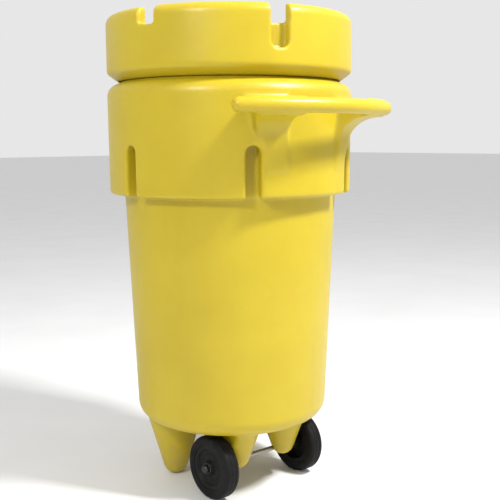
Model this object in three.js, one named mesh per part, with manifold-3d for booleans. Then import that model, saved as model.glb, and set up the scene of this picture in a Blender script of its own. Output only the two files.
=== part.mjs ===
// Overpack salvage drum: a wheeled polyethylene drum with a screw lid and a
// moulded push handle. Millimetres, +Z up. The drum's own axis is vertical at
// x = 0 inside the drum group; the group is shifted in Y so that the origin of
// the whole part is the middle of its footprint, on the ground.
import * as THREE from 'three';
import { mergeVertices } from 'three/addons/utils/BufferGeometryUtils.js';
import Module from 'manifold-3d';

const wasm = await Module();
wasm.setup();

// ---- driving dimensions -------------------------------------------------
const WALL = 6;
const PAST = 10; // how far a cutter reaches past what it cuts
// Flat sides of the round pieces, by size.
const SIDES = { drum: 40, tyre: 32, hub: 24, foot: 16, rod: 16, vent: 12, bar: 10 };
// Flat steps along the rounded edges.
const STEPS = {
  bottom: 4, edge: 2, shoulder: 3, slotEnd: 6, bracket: 5, tip: 3, lidEdge: 4, lidLip: 2, lidRoot: 1, tyre: 3,
};
const WELD = 1e-3; // corners closer than this are one

const FLOOR_Z = 172; // underside of the drum's flat bottom
const FLOOR_R = 202.2;
const BOTTOM_FILLET = 45;
const BODY_TOP_R = 270.8;

const SKIRT_Z = 758; // lower edge of the wide upper band
const SKIRT_LOW_R = 308;
const SKIRT_R = 310;
const SKIRT_EDGE = 8;
const SKIRT_LEAST_EDGE = 1;
const SHOULDER_Z = 1000;
const COLLAR_Z = 1032;
const COLLAR_R = 278;
const COLLAR_POST = 4; // upright stretch that the lid's lower edge almost meets
const SLOT = { width: 36, top: 879, floorR: 272, count: 6 };

const NECK_R = 266; // root of the drum's thread
const MOUTH_R = 256;
const NECK_FOOT_Z = 1042;
const RIM_Z = 1116;
const RIM_CHAMFER = 3;

const LID_R = 310;
const LID_LOW_Z = 1037;
const LID_CHAMFER = { r: 281.5, z: 1058 };
const LID_TOP_Z = 1197;
const LID_BORE_R = 279.5;
const CEILING_Z = 1122;
const DECK_Z = 1154;
const DECK_CROWN = { r: 150, run: 12, rise: 5 };
const LID_RIM_IN_R = 282;
const LID_ROUNDING = { outside: 22, inside: 6, root: 4 }; // radii of the rim's edges
const NOTCH = { width: 45, first: 12, step: 60, count: 6 };
const POCKET = { width: 43, high: 1155, low: 1097, floorR: 288, first: 72, step: 120, count: 3 };
const VENT = { r: 4, at: 200 };

const THREAD = {
  pitch: 32, turns: 1.25, height: 10, rootHalf: 8, crestHalf: 4, bury: 2, runOut: 0.05, steps: 45,
};
const MALE_START = { z: 1062, deg: 0 };
const FLANK_OFFSET = 12.5; // how far the lid's rib lies below the drum's
const FEMALE_START_Z = 1056;

const GASKET = { inR: 252, outR: 274, gap: 0.3 };

const BAR = { r: 17.5, pathR: 395.5, z: 967, halfDeg: 37, steps: 16, endRings: 6 };
const CORBEL_OUTLINE = [ // angle from the handle's middle in degrees, height
  [15.5, 835], [23, 835], [24.5, 860], [26.7, 890], [29.5, 913], [31.5, 949], [33, 985], [15.5, 985],
];
const CORBEL = {
  lowZ: 830, lowR: 310, footR: 316, footZ: 884, fillZ: 945, fillR: 390, innerR: 290, outerR: 415,
};

const LEG = { x: 112, y: -105, tipR: 34, flatR: 12, tipZ: 0, topZ: 195, slope: 0.29 };
const BOSS = {
  x: 78, y: 114, tipR: 30, flatR: 0, tipZ: 64, topZ: 195, slope: 0.36, faceX: 117, wall: 10, hollowZ: 100,
};

const AXLE = { r: 6, y: 100, z: 80, halfLength: 175.8, play: 0.4 };
const TYRE = { r: 80, seatR: 56, innerX: 124.5, outerX: 166, edge: 11, shoulder: 4, dish: 2 };
const HUB = { r: 55.5, rimIn: 47, innerX: 127.5, outerX: 163, boreR: 9.2, bossR: 17 };
const HUB_BOSS = { innerX: 121, outerX: 167 };
const WEB = { innerX: 150, outerX: 156, fillet: 5 };
const BUSH = { r: 8.9, boreR: 6.5, flangeR: 13, flange: 1.6, depth: 18 };
const WASHER = { r: 14, boreR: 6.4, thick: 1.6 };
const NUT = { r: 11, boreR: 6.3, skirt: 7, cap: 2.4, bevel: 2, crownR: 8, crownDrop: 0.6 };
const FIT_GAP = 0.3;

const AXIS_Y = -(BAR.pathR + BAR.r - SKIRT_R) / 2;

// ---- helpers ------------------------------------------------------------
const rad = THREE.MathUtils.degToRad;
const deg = THREE.MathUtils.radToDeg;
const point = (x, y) => new THREE.Vector2(x, y);

// A closed three.js geometry as a solid to join and cut, facing out.
function solid(geometry) {
  const bare = geometry.clone();
  bare.deleteAttribute('normal');
  bare.deleteAttribute('uv');
  const merged = mergeVertices(bare, WELD);
  const index = Array.from(merged.index.array);
  const triangles = [];
  for (let i = 0; i < index.length; i += 3) {
    const [a, b, c] = index.slice(i, i + 3);
    if (a !== b && b !== c && c !== a) triangles.push(a, b, c);
  }
  const vertProperties = new Float32Array(merged.attributes.position.array);
  const build = (list) => new wasm.Manifold(
    new wasm.Mesh({ numProp: 3, vertProperties, triVerts: new Uint32Array(list) }),
  );
  const made = build(triangles);
  return made.volume() > 0 ? made : build(triangles.reverse());
}

function join(first, ...rest) {
  return rest.reduce((sum, piece) => sum.add(piece), first);
}

function cut(first, ...rest) {
  return rest.reduce((left, piece) => left.subtract(piece), first);
}

// Points of an arc in the (radius, height) plane, angles in degrees.
function arc(cr, cz, rr, rz, from, to, steps) {
  return Array.from({ length: steps + 1 }, (_, i) => {
    const a = rad(from + ((to - from) * i) / steps);
    return point(cr + rr * Math.cos(a), cz + rz * Math.sin(a));
  });
}

// A profile of (radius, height) points turned about the vertical axis.
function turned(profile) {
  const geometry = new THREE.LatheGeometry(profile, SIDES.drum);
  geometry.rotateX(Math.PI / 2);
  return solid(geometry);
}

// A (radius, x) profile turned about the X axis, for what sits on the axle.
function turnedOnAxle(profile, sides, side) {
  const geometry = new THREE.LatheGeometry(profile, sides);
  geometry.rotateX(Math.PI / 2);
  geometry.rotateY(Math.PI / 2);
  geometry.translate(0, AXLE.y, AXLE.z);
  if (side < 0) geometry.rotateZ(Math.PI).translate(0, 2 * AXLE.y, 0);
  return solid(geometry);
}

// An outline in (across, height), pushed outward from one radius to another
// in a direction given in degrees from +X.
function radialCut(outline, fromR, toR, direction) {
  const geometry = new THREE.ExtrudeGeometry(new THREE.Shape(outline), {
    depth: toR - fromR, bevelEnabled: false,
  });
  geometry.translate(0, 0, fromR);
  geometry.rotateX(Math.PI / 2);
  geometry.rotateZ(rad(direction + 90));
  return solid(geometry);
}

// A strip with a round end, from `flatZ` to the height `endZ` of its round end.
function roundEnded(width, flatZ, endZ) {
  const half = width / 2;
  const up = endZ > flatZ ? 1 : -1;
  const arcPoints = arc(0, endZ - up * half, half, up * half, 180, 0, STEPS.slotEnd);
  return [point(-half, flatZ), ...arcPoints, point(half, flatZ)];
}

function repeat(count, first, step, make) {
  return Array.from({ length: count }, (_, i) => make(first + step * i));
}

// Moves the vertices of a geometry by a function of (x, y, z).
function reshape(geometry, map) {
  const at = geometry.attributes.position;
  for (let i = 0; i < at.count; i += 1) {
    at.setXYZ(i, ...map(at.getX(i), at.getY(i), at.getZ(i)));
  }
  return geometry;
}

function polygon(points) {
  return new THREE.Shape(points.map(([x, y]) => point(x, y)));
}

// ---- the drum shell -------------------------------------------------------
// The wall's outline moved inward by `inset`, up to the foot of the neck.
function drumOutline(inset) {
  const fillet = BOTTOM_FILLET - inset;
  const edge = Math.max(SKIRT_EDGE - inset, SKIRT_LEAST_EDGE);
  const skirtZ = SKIRT_Z + inset;
  const collarR = COLLAR_R - inset;
  const rise = COLLAR_Z - SHOULDER_Z - inset;
  return [
    point(0, FLOOR_Z + inset),
    ...arc(FLOOR_R, FLOOR_Z + BOTTOM_FILLET, fillet, fillet, -90, 0, STEPS.bottom),
    point(BODY_TOP_R - inset, skirtZ),
    ...arc(SKIRT_LOW_R - inset - edge, skirtZ + edge, edge, edge, -90, 0, STEPS.edge),
    ...arc(collarR, SHOULDER_Z, SKIRT_R - COLLAR_R, rise, 0, 90, STEPS.shoulder),
  ];
}

function drumOuter() {
  return turned([
    ...drumOutline(0),
    point(COLLAR_R, COLLAR_Z + COLLAR_POST),
    point(NECK_R, NECK_FOOT_Z),
    point(NECK_R, RIM_Z - RIM_CHAMFER),
    point(NECK_R - RIM_CHAMFER, RIM_Z),
    point(0, RIM_Z),
  ]);
}

function drumHollow() {
  return turned([
    ...drumOutline(WALL),
    point(MOUTH_R, NECK_FOOT_Z),
    point(MOUTH_R, RIM_Z + PAST),
    point(0, RIM_Z + PAST),
  ]);
}

// Upright grooves in the skirt, open at its lower edge.
function skirtSlots(grow) {
  const outline = roundEnded(SLOT.width + 2 * grow, SKIRT_Z - PAST, SLOT.top + grow);
  return repeat(SLOT.count, 0, 360 / SLOT.count, (direction) => (
    radialCut(outline, SLOT.floorR - grow, SKIRT_R + PAST, direction)
  ));
}

class BarPath extends THREE.Curve {
  getPoint(t, target = new THREE.Vector3()) {
    const a = rad(90 + BAR.halfDeg * (1 - 2 * t));
    return target.set(BAR.pathR * Math.cos(a), BAR.pathR * Math.sin(a), BAR.z);
  }
}

function handleBar() {
  const section = new THREE.Shape().absarc(0, 0, BAR.r, 0, 2 * Math.PI);
  const path = new BarPath();
  const bar = solid(new THREE.ExtrudeGeometry(section, {
    steps: BAR.steps, curveSegments: SIDES.bar / 2, extrudePath: path,
  }));
  const ends = [0, 1].map((t) => {
    const end = new THREE.SphereGeometry(BAR.r, SIDES.bar, BAR.endRings);
    end.rotateX(Math.PI / 2);
    end.translate(...path.getPoint(t).toArray());
    return solid(end);
  });
  return join(bar, ...ends);
}

// The bracket that carries one end of the bar: a sector with a hollow curve
// underneath, narrowing as it runs down the skirt.
function corbel(side) {
  const top = BAR.z + BAR.r;
  const reach = CORBEL.footR - CORBEL.fillR;
  const ring = turned([
    point(CORBEL.innerR, top),
    point(CORBEL.innerR, CORBEL.lowZ),
    point(CORBEL.lowR, CORBEL.lowZ),
    ...arc(CORBEL.fillR, CORBEL.footZ, reach, CORBEL.fillZ - CORBEL.footZ, 0, 90, STEPS.bracket),
    point(BAR.pathR, CORBEL.fillZ),
    point(BAR.pathR, top),
    point(CORBEL.innerR, top),
  ]);
  const block = new THREE.ExtrudeGeometry(polygon(CORBEL_OUTLINE), {
    depth: CORBEL.outerR - CORBEL.innerR, bevelEnabled: false,
  });
  reshape(block, (turn, z, out) => {
    const r = CORBEL.innerR + out;
    const a = rad(90 + side * turn);
    return [r * Math.cos(a), r * Math.sin(a), z];
  });
  return ring.intersect(solid(block));
}

// A round-tipped foot, wider towards the top. `inset` gives the hollow inside.
function foot(shape, sideX, inset = 0, bottomZ = shape.tipZ) {
  const tip = shape.tipR - inset;
  const lean = Math.atan(shape.slope);
  const flat = Math.max(shape.flatR - inset, 0);
  const lowest = deg(Math.asin(flat / tip)) - 90;
  const tipArc = arc(0, tip, tip, tip, lowest, -deg(lean), STEPS.tip);
  const drop = tipArc[0].y;
  const placed = tipArc.map((p) => point(p.x, p.y - drop + bottomZ));
  const last = placed[placed.length - 1];
  const top = shape.topZ;
  const profile = [
    point(0, bottomZ),
    ...placed.filter((p) => p.x > FIT_GAP),
    point(last.x + shape.slope * (top - last.y), top),
    point(0, top),
  ];
  const geometry = new THREE.LatheGeometry(profile, SIDES.foot);
  geometry.rotateX(Math.PI / 2);
  geometry.translate(sideX * shape.x, shape.y, 0);
  return solid(geometry);
}

function box(minimum, maximum) {
  const size = maximum.map((v, i) => v - minimum[i]);
  const geometry = new THREE.BoxGeometry(...size);
  geometry.translate(...maximum.map((v, i) => (v + minimum[i]) / 2));
  return solid(geometry);
}

// The part of a boss that lies between two upright planes, `halfWidth` out.
function bossRoom(halfWidth) {
  return box([-halfWidth, BOSS.y - SKIRT_R / 2, 0], [halfWidth, BOSS.y + SKIRT_R / 2, BOSS.topZ]);
}

function rod(r, halfLength) {
  const geometry = new THREE.CylinderGeometry(r, r, 2 * halfLength, SIDES.rod);
  geometry.rotateZ(Math.PI / 2);
  geometry.translate(0, AXLE.y, AXLE.z);
  return solid(geometry);
}

// A screw rib lying on a wall of radius `rootR`, standing out of it (grow = 1)
// or into the bore (grow = -1), with both ends run out to nothing.
function screwRib(rootR, grow, startZ, startDeg) {
  const section = polygon([
    [-THREAD.bury, -THREAD.rootHalf], [0, -THREAD.rootHalf],
    [THREAD.height, -THREAD.crestHalf], [THREAD.height, THREAD.crestHalf],
    [0, THREAD.rootHalf], [-THREAD.bury, THREAD.rootHalf],
  ]);
  const rib = new THREE.ExtrudeGeometry(section, { depth: 1, steps: THREAD.steps, bevelEnabled: false });
  reshape(rib, (out, up, along) => {
    const full = Math.min(1, along / THREAD.runOut, (1 - along) / THREAD.runOut);
    const r = rootR + grow * (out > 0 ? out * full : out);
    const a = rad(startDeg + 360 * THREAD.turns * along);
    return [r * Math.cos(a), r * Math.sin(a), startZ + up + THREAD.pitch * THREAD.turns * along];
  });
  return solid(rib);
}

function drumShell() {
  const legs = [-1, 1].map((s) => foot(LEG, s));
  const bosses = [-1, 1].map((s) => foot(BOSS, s).intersect(bossRoom(BOSS.faceX)));
  const bare = cut(drumOuter(), ...skirtSlots(0));
  const outside = join(bare, handleBar(), corbel(-1), corbel(1), ...legs, ...bosses);
  const inside = cut(drumHollow(), ...skirtSlots(WALL));
  const legHollows = [-1, 1].map((s) => foot(LEG, s, WALL, LEG.tipZ + WALL));
  const room = bossRoom(BOSS.faceX - WALL);
  const bossHollows = [-1, 1].map((s) => foot(BOSS, s, BOSS.wall, BOSS.hollowZ).intersect(room));
  const hollow = join(inside, ...legHollows, ...bossHollows);
  const axleHole = rod(AXLE.r + AXLE.play, BOSS.faceX + PAST);
  const shell = cut(outside, hollow, axleHole);
  return shell.add(screwRib(NECK_R, 1, MALE_START.z, MALE_START.deg));
}

// ---- the lid ----------------------------------------------------------------
function notchBlocks(grow) {
  const half = NOTCH.width / 2 + grow;
  const low = DECK_Z - grow;
  const top = LID_TOP_Z + PAST;
  const outline = [point(-half, low), point(half, low), point(half, top), point(-half, top)];
  return repeat(NOTCH.count, NOTCH.first, NOTCH.step, (direction) => (
    radialCut(outline, LID_RIM_IN_R - PAST, LID_R + PAST, direction)
  ));
}

function pocketBlocks(grow) {
  const outline = roundEnded(POCKET.width + 2 * grow, POCKET.high + grow, POCKET.low - grow);
  return repeat(POCKET.count, POCKET.first, POCKET.step, (direction) => (
    radialCut(outline, POCKET.floorR - grow, LID_R + PAST, direction)
  ));
}

// Double-walled lid: an outer skin, a threaded inner wall and air between,
// with one moulding vent in its underside.
function lidShell() {
  const { outside: edge, inside: lip, root } = LID_ROUNDING;
  const outside = turned([
    point(0, LID_LOW_Z),
    point(LID_CHAMFER.r, LID_LOW_Z),
    point(LID_R, LID_CHAMFER.z),
    ...arc(LID_R - edge, LID_TOP_Z - edge, edge, edge, 0, 90, STEPS.lidEdge),
    ...arc(LID_RIM_IN_R + lip, LID_TOP_Z - lip, lip, lip, 90, 180, STEPS.lidLip),
    ...arc(LID_RIM_IN_R - root, DECK_Z + root, root, root, 0, -90, STEPS.lidRoot),
    point(DECK_CROWN.r + DECK_CROWN.run, DECK_Z),
    point(DECK_CROWN.r, DECK_Z + DECK_CROWN.rise),
    point(0, DECK_Z + DECK_CROWN.rise),
  ]);
  const bore = turned([
    point(0, LID_LOW_Z - PAST),
    point(LID_BORE_R, LID_LOW_Z - PAST),
    point(LID_BORE_R, CEILING_Z),
    point(0, CEILING_Z),
  ]);
  const innerSkin = LID_BORE_R + WALL;
  const outerSkin = LID_R - WALL;
  const rimSkin = LID_RIM_IN_R + WALL;
  const air = turned([
    point(0, CEILING_Z + WALL),
    point(innerSkin, CEILING_Z + WALL),
    point(innerSkin, LID_CHAMFER.z + WALL),
    point(outerSkin, LID_CHAMFER.z + WALL),
    point(outerSkin, LID_TOP_Z - edge),
    point(rimSkin, LID_TOP_Z - WALL),
    point(rimSkin, DECK_Z - WALL),
    point(0, DECK_Z - WALL),
  ]);
  const vent = new THREE.CylinderGeometry(VENT.r, VENT.r, 2 * PAST, SIDES.vent);
  vent.rotateX(Math.PI / 2);
  vent.translate(VENT.at, 0, CEILING_Z);
  const gapAir = cut(air, ...notchBlocks(WALL), ...pocketBlocks(WALL));
  const shell = cut(outside, bore, ...notchBlocks(0), ...pocketBlocks(0), gapAir, solid(vent));
  const femaleDeg = MALE_START.deg
    + (360 * (FEMALE_START_Z + FLANK_OFFSET - MALE_START.z)) / THREAD.pitch;
  return shell.add(screwRib(LID_BORE_R, -1, FEMALE_START_Z, femaleDeg));
}

function gasket() {
  const low = RIM_Z + GASKET.gap;
  const high = CEILING_Z - GASKET.gap;
  return turned([
    point(GASKET.inR, low),
    point(GASKET.outR, low),
    point(GASKET.outR, high),
    point(GASKET.inR, high),
    point(GASKET.inR, low),
  ]);
}

// ---- what runs on the axle -----------------------------------------------------
function washer(side, fromX) {
  const toX = fromX + WASHER.thick;
  return turnedOnAxle([
    point(WASHER.boreR, fromX),
    point(WASHER.r, fromX),
    point(WASHER.r, toX),
    point(WASHER.boreR, toX),
    point(WASHER.boreR, fromX),
  ], SIDES.rod, side);
}

function tyre(side) {
  const e = TYRE.edge;
  return turnedOnAxle([
    point(TYRE.seatR, TYRE.innerX + TYRE.dish),
    point(TYRE.r - e - TYRE.shoulder, TYRE.innerX),
    ...arc(TYRE.r - e, TYRE.innerX + e, e, e, -90, 0, STEPS.tyre),
    ...arc(TYRE.r - e, TYRE.outerX - e, e, e, 0, 90, STEPS.tyre),
    point(TYRE.r - e - TYRE.shoulder, TYRE.outerX),
    point(TYRE.seatR, TYRE.outerX - TYRE.dish),
    point(TYRE.seatR, TYRE.innerX + TYRE.dish),
  ], SIDES.tyre, side);
}

function hub(side) {
  return turnedOnAxle([
    point(HUB.boreR, HUB_BOSS.innerX + BUSH.flange + FIT_GAP),
    point(HUB.bossR, HUB_BOSS.innerX + BUSH.flange + FIT_GAP),
    point(HUB.bossR, WEB.innerX),
    point(HUB.rimIn, WEB.innerX),
    point(HUB.rimIn, HUB.innerX),
    point(HUB.r, HUB.innerX),
    point(HUB.r, HUB.outerX),
    point(HUB.rimIn, HUB.outerX),
    point(HUB.rimIn - WEB.fillet, WEB.outerX),
    point(HUB.bossR + WEB.fillet, WEB.outerX),
    point(HUB.bossR, HUB_BOSS.outerX - BUSH.flange - FIT_GAP),
    point(HUB.boreR, HUB_BOSS.outerX - BUSH.flange - FIT_GAP),
    point(HUB.boreR, HUB_BOSS.innerX + BUSH.flange + FIT_GAP),
  ], SIDES.hub, side);
}

// A flanged sleeve pressed into one end of the hub's bore.
function bush(side, faceX, inward) {
  const flangeX = faceX + inward * BUSH.flange;
  const endX = faceX + inward * BUSH.depth;
  return turnedOnAxle([
    point(BUSH.boreR, faceX),
    point(BUSH.flangeR, faceX),
    point(BUSH.flangeR, flangeX),
    point(BUSH.r, flangeX),
    point(BUSH.r, endX),
    point(BUSH.boreR, endX),
    point(BUSH.boreR, faceX),
  ], SIDES.rod, side);
}

// A push-on cap that closes the axle's end and keeps the wheel on.
function pushNut(side, fromX) {
  const endX = fromX + NUT.skirt;
  return turnedOnAxle([
    point(NUT.boreR, fromX),
    point(NUT.r, fromX),
    point(NUT.r, endX - NUT.bevel),
    point(NUT.crownR, endX + NUT.cap - NUT.crownDrop),
    point(0, endX + NUT.cap),
    point(0, endX),
    point(NUT.boreR, endX),
    point(NUT.boreR, fromX),
  ], SIDES.rod, side);
}

// ---- the assembly -----------------------------------------------------------------
function finish(color, roughness, metalness) {
  return new THREE.MeshStandardMaterial({ color, roughness, metalness });
}

function mesh(name, piece, material) {
  const made = piece.getMesh();
  const geometry = new THREE.BufferGeometry();
  geometry.setAttribute('position', new THREE.BufferAttribute(made.vertProperties, 3));
  geometry.setIndex(new THREE.BufferAttribute(made.triVerts, 1));
  const item = new THREE.Mesh(geometry, material);
  item.name = name;
  return item;
}

const yellow = finish(0xe8d040, 0.5, 0);
const foam = finish(0x2a2a2a, 0.9, 0);
const black = finish(0x202022, 0.7, 0);
const nylon = finish(0x55565a, 0.5, 0);
const steel = finish(0x8a8c90, 0.35, 1);

const drum = new THREE.Group();
drum.add(mesh('drum_shell', drumShell(), yellow));
drum.add(mesh('lid_shell', lidShell(), yellow));
drum.add(mesh('lid_gasket', gasket(), foam));
drum.add(mesh('axle', rod(AXLE.r, AXLE.halfLength), steel));

const innerWasherX = HUB_BOSS.innerX - FIT_GAP - WASHER.thick;
const outerWasherX = HUB_BOSS.outerX + FIT_GAP;
const nutX = outerWasherX + WASHER.thick + FIT_GAP;

for (const [label, side] of [['left', 1], ['right', -1]]) {
  drum.add(mesh(`${label}_tyre`, tyre(side), black));
  drum.add(mesh(`${label}_hub`, hub(side), black));
  drum.add(mesh(`${label}_bush_inner`, bush(side, HUB_BOSS.innerX, 1), nylon));
  drum.add(mesh(`${label}_bush_outer`, bush(side, HUB_BOSS.outerX, -1), nylon));
  drum.add(mesh(`${label}_washer_inner`, washer(side, innerWasherX), steel));
  drum.add(mesh(`${label}_washer_outer`, washer(side, outerWasherX), steel));
  drum.add(mesh(`${label}_push_nut`, pushNut(side, nutX), steel));
}

drum.position.y = AXIS_Y;

const part = new THREE.Group();
part.add(drum);

export default part;
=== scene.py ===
"""Overpack salvage drum: the looks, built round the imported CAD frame.

The moulded pieces (drum shell and lid) are made as distance fields, so that every edge and
every join has the soft radius of a rotationally moulded piece. The turned pieces on the axle
are made from their profiles. Metres, +Z up, same frame as the CAD.
"""
import math

import bpy
import numpy as np
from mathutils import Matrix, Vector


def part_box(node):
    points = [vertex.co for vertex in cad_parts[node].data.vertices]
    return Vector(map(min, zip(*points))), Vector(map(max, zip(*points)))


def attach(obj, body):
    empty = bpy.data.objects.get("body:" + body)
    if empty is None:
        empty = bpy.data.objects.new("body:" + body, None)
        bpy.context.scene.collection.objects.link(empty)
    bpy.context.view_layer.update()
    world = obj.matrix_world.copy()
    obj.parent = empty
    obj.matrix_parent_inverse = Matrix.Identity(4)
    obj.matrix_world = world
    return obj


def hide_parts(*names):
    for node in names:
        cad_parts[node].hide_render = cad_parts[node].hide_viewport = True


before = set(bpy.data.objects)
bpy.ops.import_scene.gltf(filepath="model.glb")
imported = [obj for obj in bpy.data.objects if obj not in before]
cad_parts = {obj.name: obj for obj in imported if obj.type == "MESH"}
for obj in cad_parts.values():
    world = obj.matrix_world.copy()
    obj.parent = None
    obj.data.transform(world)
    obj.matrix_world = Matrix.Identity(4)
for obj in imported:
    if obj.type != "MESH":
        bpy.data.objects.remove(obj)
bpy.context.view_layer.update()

import openvdb as vdb
from mathutils import Matrix, Vector

# ---- sizes, in metres ---------------------------------------------------------------
MM = 0.001
LID_LOW, LID_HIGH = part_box("lid_shell")
AXIS_Y = (LID_LOW[1] + LID_HIGH[1]) / 2

FLOOR_Z = 172 * MM
FLOOR_R = 202.2 * MM
BOTTOM_FILLET = 45 * MM
BODY_TOP_R = 270.8 * MM
SKIRT_Z = 758 * MM
SKIRT_LOW_R = 308 * MM
SKIRT_R = 310 * MM
SKIRT_EDGE = 8 * MM
SHOULDER_Z = 1000 * MM
COLLAR_Z = 1032 * MM
COLLAR_R = 278 * MM
COLLAR_POST_Z = 1036 * MM
NECK_FOOT_Z = 1042 * MM
NECK_R = 266 * MM
MOUTH_R = 256 * MM
RIM_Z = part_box("drum_shell")[1][2]
WALL = 6 * MM
RIM_EDGE = 3 * MM

ON_AXIS = 1e-7  # a smaller radius counts as a point on the axis
NO_LENGTH = 1e-16  # an edge whose squared length is smaller is only a point
FAR_OFF = 1e9
INSIDE_AXIS = -0.1  # outlines start past the axis, so that no wall stands on it
MARGIN = 12 * MM  # empty room round a distance field

# Sides of the turned pieces.
SIDES = {"cavity": 160, "bore": 180, "gasket": 160, "tyre": 160, "hub": 96, "rod": 48}
SHARP_DEG = 35  # edges steeper than this stay sharp on the axle's pieces

# How softly one surface runs into another.
SOFT = {
    "slot_floor": 6 * MM, "slot": 7 * MM, "bracket": 7 * MM, "bar": 10 * MM, "handle": 16 * MM,
    "foot": 18 * MM, "foot_tip": 3 * MM, "boss_face": 5 * MM, "axle_hole": 2 * MM,
    "notch_end": 2 * MM, "notch": 6 * MM, "pocket_top": 4 * MM, "pocket_floor": 5 * MM, "pocket": 6 * MM,
}

SLOT_HALF, SLOT_TOP, SLOT_FLOOR_R, SLOT_COUNT = 18 * MM, 879 * MM, 272 * MM, 6

BAR_R, BAR_PATH_R, BAR_Z, BAR_HALF_DEG = 17.5 * MM, 394.8 * MM, 967 * MM, 37
# The brackets' sides, in degrees from the handle's middle; the outer one by height in mm.
CORBEL_INNER_DEG = 15.5
CORBEL_OUTER = ((835, 23.0), (860, 24.5), (890, 26.7), (913, 29.5), (949, 31.5), (985, 33.0))
CORBEL_FOOT_R, CORBEL_FOOT_Z, CORBEL_FILL_Z, CORBEL_FILL_R = 316 * MM, 884 * MM, 945 * MM, 390 * MM

# Feet and axle bosses: `low` is the tip's height, and `sink` is what is cut off flat below it.
LEG = {"x": 112 * MM, "y": -105 * MM, "tip": 34 * MM, "low": 0.0, "sink": 2.2 * MM, "slope": 0.29}
BOSS = {"x": 78 * MM, "y": 114 * MM, "tip": 30 * MM, "low": 64 * MM, "sink": 0.0, "slope": 0.36}
FOOT_TOP_Z = 195 * MM
BOSS_FACE_X = 117 * MM
AXLE_Y, AXLE_Z, AXLE_HOLE_R = 100 * MM, 80 * MM, 6.4 * MM

LID_R, LID_CHAMFER_R, LID_CHAMFER_Z = 310 * MM, 281.5 * MM, 1058 * MM
LID_LOW_Z, LID_TOP_Z = LID_LOW[2], LID_HIGH[2]
LID_BORE_R, CEILING_Z = 279.5 * MM, 1122 * MM
DECK_Z, DECK_CROWN_R, DECK_CROWN = 1154 * MM, 150 * MM, 5 * MM
LID_RIM_IN_R = 282 * MM
NOTCH_HALF, NOTCH_FIRST, NOTCH_COUNT = 22.5 * MM, 12, 6
NOTCH_CORNER, NOTCH_FROM_R = 8 * MM, 262 * MM
POCKET_HALF, POCKET_LOW, POCKET_FLOOR_R = 21.5 * MM, 1097 * MM, 288 * MM
POCKET_FIRST, POCKET_COUNT = 72, 3
POCKET_CORNER, POCKET_TOP_Z = 16 * MM, DECK_Z + 10 * MM

THREAD = {
    "pitch": 32 * MM, "turns": 1.25, "height": 10 * MM, "root": 8 * MM, "crest": 4 * MM,
    "bury": 2 * MM, "run_out": 0.05, "steps": 150,
}
MALE_Z, FEMALE_Z = 1062 * MM, 1056 * MM
FLANK = 12.5 * MM  # how far the lid's rib lies below the drum's
MALE_DEG = 0.0


# ---- distance fields ------------------------------------------------------------------
def smooth_union(a, b, k):
    h = np.clip(0.5 + 0.5 * (b - a) / k, 0.0, 1.0)
    return b * (1 - h) + a * h - k * h * (1 - h)


def smooth_both(a, b, k):
    return -smooth_union(-a, -b, k)


def smooth_cut(a, b, k):
    return smooth_both(a, -b, k)


def arc(cr, cz, rr, rz, start, stop, steps):
    """Points of an arc in the (radius, height) plane, angles in degrees."""
    turn = np.radians(np.linspace(start, stop, steps + 1))
    return list(zip(cr + rr * np.cos(turn), cz + rz * np.sin(turn)))


def outline_distance(points, r, z):
    """Signed distance to a closed (radius, height) outline, negative inside."""
    best = np.full(np.broadcast(r, z).shape, FAR_OFF)
    inside = np.zeros(best.shape, bool)
    for (r0, z0), (r1, z1) in zip(points, points[1:] + points[:1]):
        er, ez = r1 - r0, z1 - z0
        length = er * er + ez * ez
        if length < NO_LENGTH:
            continue
        share = np.clip(((r - r0) * er + (z - z0) * ez) / length, 0.0, 1.0)
        best = np.minimum(best, (r - r0 - share * er) ** 2 + (z - z0 - share * ez) ** 2)
        if z0 != z1:
            crosses = ((z0 > z) != (z1 > z)) & (r < er * (z - z0) / ez + r0)
            inside ^= crosses
    return np.where(inside, -1.0, 1.0) * np.sqrt(best)


class Field:
    """A box of signed distances round the drum's axis, with even steps in X and Y."""

    def __init__(self, low, high, step, heights):
        self.x = np.arange(low[0], high[0] + step, step)
        self.y = np.arange(low[1], high[1] + step, step)
        self.z = np.asarray(heights)
        self.d = None

    def turned(self, outline):
        """The field of an outline turned about the axis."""
        radius = np.hypot(self.x[:, None], self.y[None, :])
        samples = np.arange(0.0, radius.max() + MM, MM)
        table = outline_distance(outline, samples[None, :], self.z[:, None])
        self.d = np.empty((len(self.x), len(self.y), len(self.z)), np.float32)
        for k, row in enumerate(table):
            self.d[:, :, k] = np.interp(radius, samples, row)

    def change(self, low, high, rule):
        """Applies rule(distances, x, y, z) inside the box low..high."""
        cuts = []
        for axis, a, b in zip((self.x, self.y, self.z), low, high):
            first, last = np.searchsorted(axis, (a, b))
            cuts.append(slice(max(first - 1, 0), last + 1))
        x = self.x[cuts[0], None, None]
        y = self.y[None, cuts[1], None]
        z = self.z[None, None, cuts[2]]
        block = tuple(cuts)
        self.d[block] = rule(self.d[block], x, y, z)

    def mesh(self, name):
        """The surface of the field as a mesh object, moved from the drum's axis to the frame."""
        grid = vdb.FloatGrid(1.0)
        grid.copyFromArray(self.d)
        points, triangles, quads = grid.convertToPolygons(isovalue=0.0, adaptivity=0.0)
        place = np.empty(points.shape)
        for column, axis in enumerate((self.x, self.y, self.z)):
            place[:, column] = np.interp(points[:, column], np.arange(len(axis)), axis)
        place[:, 1] += AXIS_Y
        faces = [tuple(q) for q in quads.tolist()] + [tuple(t) for t in triangles.tolist()]
        return new_object(name, place.tolist(), faces)


def new_object(name, vertices, faces):
    """A smooth mesh object whose faces point out."""
    mesh = bpy.data.meshes.new(name)
    mesh.from_pydata(vertices, [], faces)
    mesh.validate()
    if signed_volume(mesh) < 0:
        mesh.flip_normals()
    mesh.polygons.foreach_set("use_smooth", [True] * len(mesh.polygons))
    obj = bpy.data.objects.new(name, mesh)
    bpy.context.scene.collection.objects.link(obj)
    return obj


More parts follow.
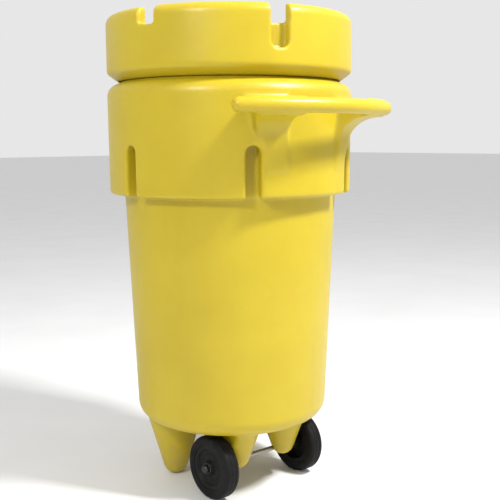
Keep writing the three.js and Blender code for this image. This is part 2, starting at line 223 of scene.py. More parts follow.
def signed_volume(mesh):
    mesh.calc_loop_triangles()
    count = len(mesh.loop_triangles)
    corners = np.empty(count * 3, np.int32)
    mesh.loop_triangles.foreach_get("vertices", corners)
    points = np.empty(len(mesh.vertices) * 3, np.float32)
    mesh.vertices.foreach_get("co", points)
    a, b, c = points.reshape(-1, 3)[corners.reshape(-1, 3)].transpose(1, 0, 2)
    return float(np.einsum("ij,ij->", a, np.cross(b, c))) / 6


def heights(spans):
    """Levels through spans of (start, stop, step), each span's stop being the next one's start."""
    levels = [spans[0][0]]
    for start, stop, step in spans:
        count = max(1, round((stop - start) / step))
        levels.extend(np.linspace(start, stop, count + 1)[1:])
    return levels


def direction(deg):
    return math.cos(math.radians(deg)), math.sin(math.radians(deg))


def room_at(deg, r, near, low_z, high_z):
    """Corners of the box round a feature at the radius r, in the direction deg."""
    c, s = direction(deg)
    return (r * c - near, r * s - near, low_z), (r * c + near, r * s + near, high_z)


def across_and_out(x, y, deg):
    """Distances across and along the direction deg, for features set round the axis."""
    c, s = direction(deg)
    return y * c - x * s, x * c + y * s


# ---- the drum shell ----------------------------------------------------------------------
def drum_outline():
    under = 6 * MM  # rounding where the skirt steps out of the body
    return [
        (INSIDE_AXIS, FLOOR_Z),
        *arc(FLOOR_R, FLOOR_Z + BOTTOM_FILLET, BOTTOM_FILLET, BOTTOM_FILLET, -90, 0, 16),
        (BODY_TOP_R - 0.6 * MM, SKIRT_Z - 2 * under),
        *arc(BODY_TOP_R + under, SKIRT_Z - under, under, under, 180, 90, 6),
        *arc(SKIRT_LOW_R - SKIRT_EDGE, SKIRT_Z + SKIRT_EDGE, SKIRT_EDGE, SKIRT_EDGE, -90, 0, 8),
        *arc(COLLAR_R, SHOULDER_Z, SKIRT_R - COLLAR_R, COLLAR_Z - SHOULDER_Z, 0, 90, 16),
        (COLLAR_R, COLLAR_POST_Z),
        (NECK_R, NECK_FOOT_Z),
        *arc(NECK_R - RIM_EDGE, RIM_Z - RIM_EDGE, RIM_EDGE, RIM_EDGE, 0, 90, 4),
        (INSIDE_AXIS, RIM_Z),
    ]


def slot_rule(deg):
    """An upright groove in the skirt with a round upper end."""
    def rule(d, x, y, z):
        across, out = across_and_out(x, y, deg)
        above = np.maximum(z - (SLOT_TOP - SLOT_HALF), 0.0)
        strip = np.hypot(across, above) - SLOT_HALF
        groove = smooth_both(strip, SLOT_FLOOR_R - out, SOFT["slot_floor"])
        return smooth_cut(d, groove, SOFT["slot"])
    return rule


def corbel_ring(r, z):
    """Distance to the brackets' section: a hollow curve from the skirt out to the bar."""
    top = BAR_Z + BAR_R
    outline = [
        (290 * MM, top),
        (290 * MM, 825 * MM),
        (306 * MM, 825 * MM),
        *arc(CORBEL_FILL_R, CORBEL_FOOT_Z, CORBEL_FOOT_R - CORBEL_FILL_R,
             CORBEL_FILL_Z - CORBEL_FOOT_Z, 0, 90, 12),
        (BAR_PATH_R, CORBEL_FILL_Z),
        (BAR_PATH_R, top),
    ]
    return outline_distance(outline, r, z)


def handle_rule(d, x, y, z):
    """The bar and its two brackets, melted into the shell."""
    r = np.hypot(x, y)
    turn = np.degrees(np.arctan2(np.abs(x), y))
    held = np.radians(np.minimum(turn, BAR_HALF_DEG))
    end_x, end_y = BAR_PATH_R * np.sin(held), BAR_PATH_R * np.cos(held)
    bar = np.sqrt((np.abs(x) - end_x) ** 2 + (y - end_y) ** 2 + (z - BAR_Z) ** 2) - BAR_R
    levels, angles = np.array(CORBEL_OUTER).T
    outer_deg = np.interp(z / MM, levels, angles)
    side = np.radians(np.maximum(CORBEL_INNER_DEG - turn, turn - outer_deg)) * r
    bracket = smooth_both(corbel_ring(r, z), side, SOFT["bracket"])
    handle = smooth_union(bar, bracket, SOFT["bar"])
    return smooth_union(d, handle, SOFT["handle"])


def foot_rule(shape, side, face_x=None):
    """A round-tipped conical foot. With face_x it is a boss: cut flat there and bored for the axle."""
    lean = math.atan(shape["slope"])
    low = np.array((side * shape["x"], shape["y"], shape["low"] + shape["tip"] - shape["sink"]))
    length = FOOT_TOP_Z - low[2]
    top_r = shape["tip"] + length * math.sin(lean)

    def rule(d, x, y, z):
        ring = np.hypot(x - low[0], y - low[1])
        up = z - low[2]
        cone = ring * math.cos(lean) - up * math.sin(lean) - shape["tip"]
        tip = np.hypot(ring, up) - shape["tip"]
        crown = np.hypot(ring, up - length) - top_r
        turned_low = up * math.cos(lean) + ring * math.sin(lean) < 0
        foot = np.where(turned_low, tip, np.where(up > length, crown, cone))
        foot = smooth_both(foot, shape["low"] - z, SOFT["foot_tip"])
        if face_x is None:
            return smooth_union(d, foot, SOFT["foot"])
        foot = smooth_both(foot, side * x - face_x, SOFT["boss_face"])
        hole = np.hypot(y - AXLE_Y, z - AXLE_Z) - AXLE_HOLE_R
        return smooth_cut(smooth_union(d, foot, SOFT["foot"]), hole, SOFT["axle_hole"])
    return rule


def cavity():
    """The drum's hollow as a closed turned body, straight from the skirt's foot to the shoulder."""
    floor = FLOOR_Z + WALL
    past = RIM_Z + 8 * MM
    fillet = BOTTOM_FILLET - WALL
    profile = [
        (0.0, floor),
        *arc(FLOOR_R, floor + fillet, fillet, fillet, -90, 0, 10),
        (BODY_TOP_R - WALL, SKIRT_Z),
        (BODY_TOP_R - WALL, SHOULDER_Z),
        (MOUTH_R + 2 * MM, COLLAR_Z),
        (MOUTH_R, RIM_Z - RIM_EDGE),
        (MOUTH_R + RIM_EDGE, RIM_Z),
        (MOUTH_R + RIM_EDGE, past),
        (0.0, past),
    ]
    return turned_object("cavity", profile, SIDES["cavity"])


def turned_object(name, profile, sides):
    """A (radius, height) profile from axis to axis, turned about the drum's axis."""
    vertices, faces = turn_profile(profile, sides)
    placed = [(x, y + AXIS_Y, z) for x, y, z in vertices]
    return new_object(name, placed, faces)


def turn_profile(profile, sides):
    """Vertices and faces of a turned profile; points on the axis become poles."""
    vertices, rows, faces = [], [], []
    for r, h in profile:
        if r < ON_AXIS:
            rows.append([len(vertices)] * sides)
            vertices.append((0.0, 0.0, h))
        else:
            rows.append(list(range(len(vertices), len(vertices) + sides)))
            for k in range(sides):
                a = 2 * math.pi * k / sides
                vertices.append((r * math.cos(a), r * math.sin(a), h))
    closed = profile[0][0] > ON_AXIS
    pairs = list(zip(rows, rows[1:])) + ([(rows[-1], rows[0])] if closed else [])
    for low, high in pairs:
        for k in range(sides):
            n = (k + 1) % sides
            corners = [low[k], low[n], high[n], high[k]]
            unique = list(dict.fromkeys(corners))
            if len(unique) > 2:
                faces.append(unique)
    return vertices, faces


def carve(obj, cutter):
    """Cuts one closed mesh out of another and keeps the result as a plain mesh."""
    modifier = obj.modifiers.new("carve", "BOOLEAN")
    modifier.operation = "DIFFERENCE"
    modifier.solver = "MANIFOLD"
    modifier.object = cutter
    made = bpy.data.meshes.new_from_object(obj.evaluated_get(bpy.context.evaluated_depsgraph_get()))
    obj.modifiers.clear()
    obj.data = made
    made.polygons.foreach_set("use_smooth", [True] * len(made.polygons))
    bpy.data.objects.remove(cutter)


def screw_rib(name, root_r, grow, start_z, start_deg):
    """A screw rib of rounded section on a wall of radius root_r, run out at both ends."""
    half, crest, height = THREAD["root"], THREAD["crest"], THREAD["height"]
    bury, run_out, steps = THREAD["bury"], THREAD["run_out"], THREAD["steps"]
    section = [
        (-bury, -half), (0.5 * MM, -half), (2 * MM, -half + 1.2 * MM),
        (height - 1.5 * MM, -crest - 0.6 * MM), (height, -crest + 1.2 * MM),
        (height, crest - 1.2 * MM), (height - 1.5 * MM, crest + 0.6 * MM),
        (2 * MM, half - 1.2 * MM), (0.5 * MM, half), (-bury, half),
    ]
    vertices = []
    for i in range(steps + 1):
        share = i / steps
        full = min(1.0, share / run_out, (1 - share) / run_out)
        full = full * full * (3 - 2 * full)
        a = math.radians(start_deg + 360 * THREAD["turns"] * share)
        for out, up in section:
            r = root_r + grow * (out * full if out > 0 else out)
            z = start_z + up + THREAD["pitch"] * THREAD["turns"] * share
            vertices.append((r * math.cos(a), r * math.sin(a) + AXIS_Y, z))
    n = len(section)
    faces = [list(range(n))[::-1], list(range(steps * n, steps * n + n))]
    for i in range(steps):
        for k in range(n):
            m = (k + 1) % n
            faces.append([i * n + k, i * n + m, (i + 1) * n + m, (i + 1) * n + k])
    return new_object(name, vertices, faces)


def make_drum_shell():
    """The moulded drum. The plain stretches of body and neck need only a few levels."""
    step = 3.8 * MM
    body_low, body_high, neck_low, neck_high = 225 * MM, 735 * MM, 1050 * MM, 1105 * MM
    levels = heights([
        (-MARGIN, 0.0, step), (0.0, body_low, step), (body_low, body_high, 15 * MM),
        (body_high, neck_low, step), (neck_low, neck_high, 8 * MM),
        (neck_high, RIM_Z + MARGIN, step),
    ])
    reach = SKIRT_R + MARGIN
    far = BAR_PATH_R + BAR_R + MARGIN
    field = Field((-reach, -reach), (reach, far), step, levels)
    field.turned(drum_outline())
    for i in range(SLOT_COUNT):
        deg = 360 / SLOT_COUNT * i
        low, high = room_at(deg, 290 * MM, 60 * MM, SKIRT_Z - 30 * MM, SLOT_TOP + 20 * MM)
        field.change(low, high, slot_rule(deg))
    handle_room = (-reach, 150 * MM, 780 * MM), (reach, far, 1030 * MM)
    field.change(*handle_room, handle_rule)
    legs_room = (-reach, -reach, -MARGIN), (reach, 50 * MM, 240 * MM)
    bosses_room = (-reach, -20 * MM, 0.0), (reach, reach, 240 * MM)
    for side in (-1, 1):
        field.change(*legs_room, foot_rule(LEG, side))
        field.change(*bosses_room, foot_rule(BOSS, side, BOSS_FACE_X))
    shell = field.mesh("drum_body")
    carve(shell, cavity())
    return shell


# ---- the lid ------------------------------------------------------------------------------
def lid_outline():
    """The lid turned: bevelled foot, rounded rim, and a deck sunk inside it."""
    edge, lip, root, heel = 22 * MM, 6 * MM, 5 * MM, 5 * MM
    return [
        (INSIDE_AXIS, LID_LOW_Z),
        (LID_CHAMFER_R - 0.5 * MM, LID_LOW_Z),
        (LID_CHAMFER_R + 1.0 * MM, LID_LOW_Z + 0.6 * MM),
        (LID_R - heel, LID_CHAMFER_Z - 4 * MM),
        (LID_R - 1.2 * MM, LID_CHAMFER_Z + 0.5 * MM),
        (LID_R, LID_CHAMFER_Z + heel),
        *arc(LID_R - edge, LID_TOP_Z - edge, edge, edge, 0, 90, 10),
        *arc(LID_RIM_IN_R + lip, LID_TOP_Z - lip, lip, lip, 90, 180, 6),
        *arc(LID_RIM_IN_R - root, DECK_Z + root, root, root, 0, -90, 5),
        (DECK_CROWN_R + 14 * MM, DECK_Z),
        (DECK_CROWN_R + 8 * MM, DECK_Z + 0.8 * MM),
        (DECK_CROWN_R, DECK_Z + DECK_CROWN),
        (INSIDE_AXIS, DECK_Z + DECK_CROWN),
    ]


def rounded_strip(across, z, half, low, corner):
    """Distance to an upright strip from `low` up without end, its lower corners rounded."""
    dx = np.abs(across) - (half - corner)
    dz = (low + corner) - z
    return np.hypot(np.maximum(dx, 0), np.maximum(dz, 0)) + np.minimum(np.maximum(dx, dz), 0) - corner


def notch_rule(deg):
    """A notch right through the rim, down to the deck."""
    def rule(d, x, y, z):
        across, out = across_and_out(x, y, deg)
        strip = rounded_strip(across, z, NOTCH_HALF, DECK_Z, NOTCH_CORNER)
        notch = smooth_both(strip, NOTCH_FROM_R - out, SOFT["notch_end"])
        return smooth_cut(d, notch, SOFT["notch"])
    return rule


def pocket_rule(deg):
    """An upright pocket in the rim's outer face, running up into the notch above it."""
    def rule(d, x, y, z):
        across, out = across_and_out(x, y, deg)
        strip = rounded_strip(across, z, POCKET_HALF, POCKET_LOW, POCKET_CORNER)
        capped = smooth_both(strip, z - POCKET_TOP_Z, SOFT["pocket_top"])
        pocket = smooth_both(capped, POCKET_FLOOR_R - out, SOFT["pocket_floor"])
        return smooth_cut(d, pocket, SOFT["pocket"])
    return rule


def make_lid():
    """The moulded lid. The plain stretch of its side needs only a few levels."""
    step = 3.6 * MM
    side_low, side_high = 1072 * MM, 1090 * MM
    levels = heights([
        (LID_LOW_Z - MARGIN, side_low, step), (side_low, side_high, 6 * MM),
        (side_high, LID_TOP_Z + MARGIN, step),
    ])
    reach = LID_R + MARGIN
    field = Field((-reach, -reach), (reach, reach), step, levels)
    field.turned(lid_outline())
    for first, count, rule, low_z in (
        (NOTCH_FIRST, NOTCH_COUNT, notch_rule, DECK_Z - 15 * MM),
        (POCKET_FIRST, POCKET_COUNT, pocket_rule, POCKET_LOW - 15 * MM),
    ):
        for i in range(count):
            deg = first + 360 / count * i
            low, high = room_at(deg, 292 * MM, 55 * MM, low_z, LID_TOP_Z + 2 * MARGIN)
            field.change(low, high, rule(deg))
    lid = field.mesh("lid_body")
    carve(lid, lid_bore())
    return lid


def lid_bore():
    """The lid's threaded bore as a closed turned body, with a widened mouth."""
    past = LID_LOW_Z - 8 * MM
    mouth_r = LID_BORE_R + 2 * MM
    corner = 4 * MM
    return turned_object("bore", [
        (0.0, past), (mouth_r, past), (mouth_r, LID_LOW_Z - 0.5 * MM), (LID_BORE_R, LID_LOW_Z + 2 * MM),
        (LID_BORE_R, CEILING_Z - corner), (LID_BORE_R - corner, CEILING_Z), (0.0, CEILING_Z),
    ], SIDES["bore"])


# ---- pieces on the axle --------------------------------------------------------------------
def turned_on_axle(name, profile, sides):
    """A (radius, x) profile turned about the axle, with sharp edges kept sharp."""
    low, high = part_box("axle")
    cy, cz = (low[1] + high[1]) / 2, (low[2] + high[2]) / 2
    turned, faces = turn_profile(profile, sides)
    placed = [(h, y + cy, x + cz) for x, y, h in turned]
    obj = new_object(name, placed, faces)
    obj.data.set_sharp_from_angle(angle=math.radians(SHARP_DEG))
    return obj


def span(node):
    """Lowest and highest x of a node, and its outer radius."""
    low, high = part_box(node)
    return low[0], high[0], (high[2] - low[2]) / 2


def mirrored(profile, side):
    """A profile given outward from the middle plane, for the wheel at side * x."""
    return [(r, side * x) for r, x in profile]


def x_limits(node, side):
    """Inner and outer x of a node as distances from the middle plane."""
    x0, x1, r = span(node)
    near, far = sorted((side * x0, side * x1))
    return near, far, r


def tyre_profile(near, far, r):
    edge = 11 * MM
    seat = 56 * MM
    width = far - near
    middle = near + width / 2
    lip = 1.0 * MM
    return [
        (seat, near + 2 * MM),
        (seat + 3 * MM, near + 1.2 * MM),
        (r - edge - 6 * MM, near + 0.9 * MM),
        (r - edge - 5 * MM, near),
        *arc(r - edge, near + edge, edge, edge, -90, 0, 8),
        (r, middle - 7 * MM), (r - lip, middle - 6 * MM), (r - lip, middle - 5 * MM), (r, middle - 4 * MM),
        (r, middle + 4 * MM), (r - lip, middle + 5 * MM), (r - lip, middle + 6 * MM), (r, middle + 7 * MM),
        *arc(r - edge, far - edge, edge, edge, 0, 90, 8),
        (r - edge - 5 * MM, far),
        (r - edge - 6 * MM, far - 0.9 * MM),
        (seat + 3 * MM, far - 1.2 * MM),
        (seat, far - 2 * MM),
    ]


def hub_profile(near, far, r):
    rim_in, boss, bore = 47 * MM, 17 * MM, 9.2 * MM
    rim_near, rim_far = 127.5 * MM, 163 * MM
    web_near, web_far = 150 * MM, 156 * MM
    return [
        (bore, near), (boss - 1 * MM, near), (boss, near + 1 * MM), (boss + 1.5 * MM, web_near - 3 * MM),
        (boss + 5 * MM, web_near), (rim_in - 4 * MM, web_near), (rim_in, web_near - 4 * MM),
        (rim_in, rim_near + 1 * MM), (rim_in + 1 * MM, rim_near), (r, rim_near), (r, rim_far),
        (rim_in + 1 * MM, rim_far), (rim_in - 1 * MM, rim_far - 1.5 * MM),
        (rim_in - 4.5 * MM, web_far + 0.8 * MM), (rim_in - 7 * MM, web_far),
        (36 * MM, web_far), (35 * MM, web_far + 0.8 * MM), (33 * MM, web_far + 0.8 * MM), (32 * MM, web_far),
        (boss + 6 * MM, web_far), (boss + 2 * MM, web_far + 2 * MM),
        (boss, far - 1 * MM), (boss - 1 * MM, far), (bore, far),
    ]


BUSH = {"bore": 6.5 * MM, "sleeve": 8.9 * MM, "thick": 1.6 * MM, "edge": 0.4 * MM}


def inner_bush_profile(near, far, r):
    bore, sleeve, thick, edge = BUSH.values()
    return [
        (bore, near), (r - edge, near), (r, near + edge), (r, near + thick),
        (sleeve, near + thick), (sleeve, far), (bore, far),
    ]


def outer_bush_profile(near, far, r):
    bore, sleeve, thick, edge = BUSH.values()
    return [
        (bore, near), (sleeve, near), (sleeve, far - thick), (r, far - thick),
        (r, far - edge), (r - edge, far), (bore, far),
    ]


def washer_profile(near, far, r):
    bore, edge = 6.4 * MM, 0.35 * MM
    return [
        (bore, near + edge), (bore + edge, near), (r - edge, near), (r, near + edge),
        (r, far - edge), (r - edge, far), (bore + edge, far), (bore, far - edge),
    ]


def push_nut_profile(near, far, r):
    bore, cap = 6.3 * MM, 2.4 * MM
    inner_end = far - cap
    return [
        (bore, near), (r - 0.4 * MM, near), (r, near + 0.4 * MM), (r, inner_end - 2 * MM),
        (r - 0.8 * MM, inner_end - 0.4 * MM), (r - 3 * MM, far - 0.5 * MM), (r - 5 * MM, far - 0.1 * MM),
        (0.0, far), (0.0, inner_end), (bore, inner_end),
    ]


def axle_profile(near, far, r):
    edge = 1 * MM
    return [(0.0, near), (r - edge, near), (r, near + edge), (r, far - edge), (r - edge, far), (0.0, far)]


def gasket_profile(low, high, in_r, out_r):
    edge = 1.6 * MM
    return [
        *arc(out_r - edge, low + edge, edge, edge, -90, 0, 4),
        *arc(out_r - edge, high - edge, edge, edge, 0, 90, 4),
        *arc(in_r + edge, high - edge, edge, edge, 90, 180, 4),
        *arc(in_r + edge, low + edge, edge, edge, 180, 270, 4),
    ]


# ---- materials -----------------------------------------------------------------------------------
class Nodes:
    """A small helper that makes and links shader nodes."""

    def __init__(self, name):
        self.material = bpy.data.materials.new(name)
        self.material.use_nodes = True
        self.tree = self.material.node_tree
        self.shader = self.tree.nodes["Principled BSDF"]
        self.place = self.add("ShaderNodeTexCoord").outputs["Object"]

    def add(self, kind, links=(), **values):
        node = self.tree.nodes.new(kind)
        for key, value in values.items():
            if key.startswith("in_"):
                node.inputs[key[3:].replace("_", " ")].default_value = value
            else:
                setattr(node, key, value)
        for source, target in links:
            self.tree.links.new(source, node.inputs[target])
        return node

    def link(self, source, target):
        self.tree.links.new(source, target)

    def noise(self, scale, detail=4.0, roughness=0.55, distortion=0.0, place=None):
        return self.add(
            "ShaderNodeTexNoise", [(place or self.place, "Vector")],
            in_Scale=scale, in_Detail=detail, in_Roughness=roughness, in_Distortion=distortion,
        ).outputs["Fac"]

    def ramp(self, source, stops):
        node = self.add("ShaderNodeValToRGB", [(source, "Fac")])
        ramp = node.color_ramp
        for element, (position, colour) in zip(ramp.elements, stops):
            element.position = position
            element.color = (*colour, 1.0)
        return node.outputs["Color"]

    def span(self, source, low, high, to_low, to_high):
        return self.add(
            "ShaderNodeMapRange", [(source, "Value")],
            in_From_Min=low, in_From_Max=high, in_To_Min=to_low, in_To_Max=to_high,
        ).outputs["Result"]

    def math(self, operation, a, b):
        return self.add("ShaderNodeMath", [(a, 0), (b, 1)], operation=operation).outputs[0]

    def stretched(self, scale, rotation=(0.0, 0.0, 0.0)):
        """The object's own coordinates, scaled and turned."""
        node = self.add("ShaderNodeMapping", [(self.place, "Vector")], vector_type="POINT")
        node.inputs["Scale"].default_value = scale
        node.inputs["Rotation"].default_value = rotation
        return node.outputs["Vector"]

    def mix(self, share, a, b):
        """Mixes two colours; each value is a socket or, for a colour, three numbers."""
        node = self.add("ShaderNodeMix", data_type="RGBA")
        for socket, value in ((node.inputs[0], share), (node.inputs[6], a), (node.inputs[7], b)):
            if isinstance(value, bpy.types.NodeSocket):
                self.link(value, socket)
            else:
                socket.default_value = (*value, 1.0)
        return node.outputs[2]

    def bump(self, layers):
        """Stacks (source, distance in metres) as bump, each on top of the last."""
        normal = None
        for source, distance in layers:
            node = self.add("ShaderNodeBump", [(source, "Height")], in_Distance=distance, in_Strength=1.0)
            if normal is not None:
                self.link(normal, node.inputs["Normal"])
            normal = node.outputs["Normal"]
        self.link(normal, self.shader.inputs["Normal"])


def grey(value):
    return (value, value, value)


YELLOW = {
    "deep": (0.430, 0.326, 0.010), "full": (0.475, 0.368, 0.015), "run": (0.38, 0.272, 0.009),
    # the low speck colour is a darker, duller yellow, given to specks towards the bottom
    "speck": (0.54, 0.44, 0.07), "scuff": (0.60, 0.51, 0.18), "speckling": (0.30, 0.24, 0.12),
}


def pigment(n):
    """The yellow itself: faint clouds, upright runs and fine specks."""
    colour = n.ramp(n.noise(4.5, detail=3.0), [(0.30, YELLOW["deep"]), (0.72, YELLOW["full"])])
    runs = n.noise(1.0, detail=5.0, roughness=0.6, place=n.stretched((14.0, 14.0, 1.6)))
    colour = n.mix(n.span(runs, 0.55, 0.8, 0.0, 0.20), colour, YELLOW["run"])
    speck = n.noise(420.0, detail=2.0)
    return n.mix(n.span(speck, 0.62, 0.75, 0.0, 0.22), colour, YELLOW["speck"])


def scuffs(n):
    """Where the skin is scratched: thin level marks, in patches."""
    place = n.stretched((36.0, 36.0, 210.0), (0.5, 0.35, 0.0))
    scratches = n.noise(1.0, detail=6.0, roughness=0.7, distortion=0.6, place=place)
    patches = n.noise(7.0, detail=2.0)
    return n.math("MULTIPLY", n.span(scratches, 0.66, 0.74, 0.0, 1.0), n.span(patches, 0.52, 0.68, 0.0, 1.0))


def low_dark_specks(n):
    """Darker specks towards the bottom, thinning out with height."""
    height = n.add("ShaderNodeSeparateXYZ", [(n.place, "Vector")]).outputs["Z"]
    specks = n.noise(38.0, detail=5.0)
    return n.math("MULTIPLY", n.span(height, 0.0, 0.16, 1.0, 0.0), n.span(specks, 0.40, 0.62, 0.0, 1.0))


def polyethylene(name):
    """Yellow rotomoulded polyethylene: a satin skin with fine grain, scuffs and darker specks towards the
    bottom.
    """
    n = Nodes(name)
    scuff = scuffs(n)
    colour = n.mix(n.span(scuff, 0.0, 1.0, 0.0, 0.35), pigment(n), YELLOW["scuff"])
    # darker, duller specks towards the bottom, fading out by 0.16 m up
    colour = n.mix(n.span(low_dark_specks(n), 0.0, 1.0, 0.0, 0.45), colour, YELLOW["speckling"])
    n.link(colour, n.shader.inputs["Base Color"])
    rough = n.span(n.noise(55.0, detail=4.0), 0.3, 0.7, 0.33, 0.43)
    worn = n.math("ADD", rough, n.span(scuff, 0.0, 1.0, 0.0, 0.12))
    n.link(worn, n.shader.inputs["Roughness"])
    n.bump([
        (n.noise(11.0, detail=2.0), 0.9 * MM),
        (n.noise(160.0, detail=3.0), 0.12 * MM),
        (n.noise(900.0, detail=2.0), 0.03 * MM),
        (scuff, 0.05 * MM),
    ])
    n.shader.inputs["Specular IOR Level"].default_value = 0.40
    n.shader.inputs["Subsurface Weight"].default_value = 0.50
    n.shader.inputs["Subsurface Radius"].default_value = (1.0, 0.65, 0.12)
    n.shader.inputs["Subsurface Scale"].default_value = 0.014
    return n.material


DUST_ON_BLACK = (0.035, 0.031, 0.026)


def dark_moulding(name, dark, light, rough_low, rough_high, grain, depth):
    """Black rubber or plastic with dust in its grain and lighter rubbed patches."""
    n = Nodes(name)
    patches = n.noise(26.0, detail=5.0, roughness=0.62)
    colour = n.ramp(patches, [(0.35, grey(dark)), (0.75, grey(light))])
    speckling = n.noise(210.0, detail=3.0)
    colour = n.mix(n.span(speckling, 0.60, 0.80, 0.0, 0.30), colour, DUST_ON_BLACK)
    n.link(colour, n.shader.inputs["Base Color"])
    n.shader.inputs["Specular IOR Level"].default_value = 0.14
    n.link(n.span(n.noise(70.0), 0.3, 0.7, rough_low, rough_high), n.shader.inputs["Roughness"])
    n.bump([(n.noise(grain, detail=3.0), depth), (n.noise(24.0, detail=2.0), 0.25 * MM)])
    return n.material


def plated_steel(name, dark, light):
    """Dull plated steel, drawn along X, with faint brown bloom."""
    n = Nodes(name)
    drawn = n.noise(1.0, detail=4.0, place=n.stretched((6.0, 420.0, 420.0)))
    colour = n.ramp(drawn, [(0.3, grey(dark)), (0.7, grey(light))])
    bloom = n.noise(60.0, detail=5.0)
    colour = n.mix(n.span(bloom, 0.58, 0.72, 0.0, 0.5), colour, (dark * 0.7, dark * 0.4, dark * 0.25))
    n.link(colour, n.shader.inputs["Base Color"])
    n.shader.inputs["Metallic"].default_value = 0.9
    n.link(n.span(drawn, 0.3, 0.7, 0.34, 0.50), n.shader.inputs["Roughness"])
    n.bump([(drawn, 0.03 * MM)])
    return n.material


def closed_cell_foam(name):
    n = Nodes(name)
    cells = n.add("ShaderNodeTexVoronoi", [(n.place, "Vector")], in_Scale=900.0).outputs["Distance"]
    colour = n.ramp(n.noise(60.0), [(0.3, grey(0.018)), (0.7, grey(0.04))])
    n.link(colour, n.shader.inputs["Base Color"])
    n.link(n.span(n.noise(90.0), 0.3, 0.7, 0.78, 0.92), n.shader.inputs["Roughness"])
    n.bump([(cells, 0.15 * MM)])
    return n.material


def nylon(name):
    n = Nodes(name)
    colour = n.ramp(n.noise(80.0), [(0.3, grey(0.10)), (0.7, grey(0.15))])
    n.link(colour, n.shader.inputs["Base Color"])
    n.link(n.span(n.noise(140.0), 0.3, 0.7, 0.42, 0.55), n.shader.inputs["Roughness"])
    n.bump([(n.noise(600.0), 0.03 * MM)])
    return n.material


def pale_floor(name):
    n = Nodes(name)
    colour = n.ramp(n.noise(3.0), [(0.3, grey(0.71)), (0.7, grey(0.74))])
    n.link(colour, n.shader.inputs["Base Color"])
    n.shader.inputs["Roughness"].default_value = 0.85
    return n.material


# ---- assembly -------------------------------------------------------------------------------------
def put(piece, body, node, slot, material):
    """Gives a piece its material, ties it to the body, and hides the CAD node it stands for."""
    piece.data.materials.clear()
    piece.data.materials.append(material)
    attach(piece, body)
    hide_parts(node)


def build_moulded(yellow):
    female_deg = MALE_DEG + 360 * (FEMALE_Z + FLANK - MALE_Z) / THREAD["pitch"]
    put(make_drum_shell(), "drum", "drum_shell", "yellow_polyethylene", yellow)
    rib = screw_rib("drum_thread", NECK_R, 1, MALE_Z, MALE_DEG)
    put(rib, "drum", "drum_shell", "yellow_polyethylene", yellow)
    put(make_lid(), "lid", "lid_shell", "yellow_polyethylene", yellow)
    rib = screw_rib("lid_thread", LID_BORE_R, -1, FEMALE_Z, female_deg)
    put(rib, "lid", "lid_shell", "yellow_polyethylene", yellow)


def build_gasket(foam):
    low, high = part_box("lid_gasket")
    out_r = (high[0] - low[0]) / 2
    ring = gasket_profile(low[2], high[2], out_r - 22 * MM, out_r)
    put(turned_object("gasket_ring", ring, SIDES["gasket"]), "gasket", "lid_gasket", "gasket_foam", foam)


def build_running_gear(rubber, plastic, bush, steel, black_steel):
    near, far, r = span("axle")
    rod = turned_on_axle("axle_rod", axle_profile(near, far, r), SIDES["rod"])
    put(rod, "drum", "axle", "axle_steel", steel)
    for label, side in (("left", 1), ("right", -1)):
        wheel = f"wheel_{label}"
        pieces = (
            ("tyre", wheel, "tyre_rubber", rubber, tyre_profile, "tyre"),
            ("hub", wheel, "hub_plastic", plastic, hub_profile, "hub"),
            ("bush_inner", wheel, "bush_nylon", bush, inner_bush_profile, "rod"),
            ("bush_outer", wheel, "bush_nylon", bush, outer_bush_profile, "rod"),
            ("washer_inner", "drum", "axle_steel", black_steel, washer_profile, "rod"),
            ("washer_outer", "drum", "axle_steel", black_steel, washer_profile, "rod"),
            ("push_nut", "drum", "axle_steel", black_steel, push_nut_profile, "rod"),
        )
        for part, body, slot, material, profile, size in pieces:
            node = f"{label}_{part}"
            outline = mirrored(profile(*x_limits(node, side)), side)
            put(turned_on_axle(f"{node}_fine", outline, SIDES[size]), body, node, slot, material)


# ---- studio ------------------------------------------------------------------------------------------
CAMERA = {
    "out": (1.472, 1.7542, 0.895), "bearing": 228.74, "pitch": -7.23, "roll": -0.33,
    "lens": 63.3, "sensor": 36.0, "sees": 60.0,
}
LAMPS_AIM_Z = 0.65
LAMP_DISTANCE = 3.6
FLOOR_HALF = 40.0
BACKDROP_STRENGTH = 0.80


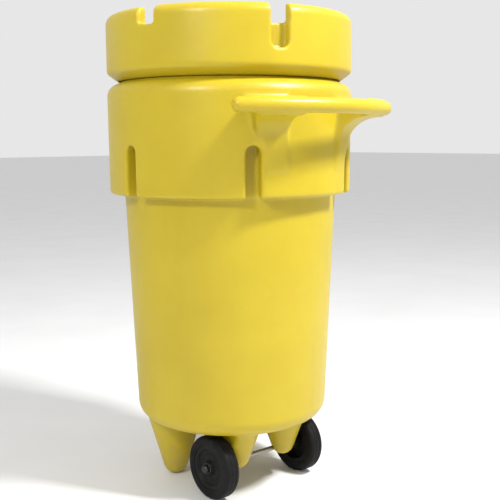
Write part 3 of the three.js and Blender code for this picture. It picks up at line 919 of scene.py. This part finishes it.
def make_camera():
    """A camera below the lid's height, 50 degrees round from +X; `out` is from the drum's axis."""
    data = bpy.data.cameras.new("camera")
    data.lens = CAMERA["lens"]
    data.sensor_width = CAMERA["sensor"]
    data.clip_end = CAMERA["sees"]
    camera = bpy.data.objects.new("camera", data)
    x, y, z = CAMERA["out"]
    camera.location = (x, y + AXIS_Y, z)
    bearing, pitch = math.radians(CAMERA["bearing"]), math.radians(CAMERA["pitch"])
    look = Vector((
        math.cos(bearing) * math.cos(pitch), math.sin(bearing) * math.cos(pitch), math.sin(pitch),
    ))
    level = look.to_track_quat("-Z", "Y").to_matrix().to_4x4()
    roll = Matrix.Rotation(math.radians(CAMERA["roll"]), 4, "Z")
    camera.matrix_world = Matrix.Translation(camera.location) @ level @ roll
    bpy.context.scene.collection.objects.link(camera)
    bpy.context.scene.camera = camera


def area_light(name, azimuth, elevation, size, power):
    """A square lamp aimed at the middle of the drum; azimuth is counted from +X."""
    data = bpy.data.lights.new(name, "AREA")
    data.size = size
    data.energy = power
    lamp = bpy.data.objects.new(name, data)
    a, e = math.radians(azimuth), math.radians(elevation)
    target = Vector((0.0, AXIS_Y, LAMPS_AIM_Z))
    away = Vector((math.cos(a) * math.cos(e), math.sin(a) * math.cos(e), math.sin(e)))
    lamp.location = target + away * LAMP_DISTANCE
    lamp.rotation_mode = "QUATERNION"
    lamp.rotation_quaternion = (-away).to_track_quat("-Z", "Y")
    bpy.context.scene.collection.objects.link(lamp)


def make_studio():
    h = FLOOR_HALF
    corners = [(-h, -h, 0), (h, -h, 0), (h, h, 0), (-h, h, 0)]
    mesh = bpy.data.meshes.new("floor")
    mesh.from_pydata(corners, [], [(0, 1, 2, 3)])
    floor = bpy.data.objects.new("floor", mesh)
    bpy.context.scene.collection.objects.link(floor)
    mesh.materials.append(pale_floor("pale_floor"))
    world = bpy.data.worlds.new("studio")
    world.use_nodes = True
    backdrop = world.node_tree.nodes["Background"]
    backdrop.inputs["Color"].default_value = (1.0, 1.0, 1.0, 1.0)
    backdrop.inputs["Strength"].default_value = BACKDROP_STRENGTH
    bpy.context.scene.world = world
    bpy.context.scene.view_settings.view_transform = "Standard"
    area_light("key", 112, 48, 0.5, 200)
    area_light("front", 23, 30, 0.35, 55)


make_camera()
yellow = polyethylene("yellow_polyethylene")
build_moulded(yellow)
build_gasket(closed_cell_foam("gasket_foam"))
rubber = dark_moulding("tyre_rubber", 0.004, 0.008, 0.50, 0.68, 300.0, 0.10 * MM)
plastic = dark_moulding("hub_plastic", 0.005, 0.010, 0.45, 0.60, 700.0, 0.04 * MM)
steel = plated_steel("axle_steel", 0.24, 0.36)
black_steel = plated_steel("blackened_steel", 0.03, 0.055)
build_running_gear(rubber, plastic, nylon("bush_nylon"), steel, black_steel)
make_studio()
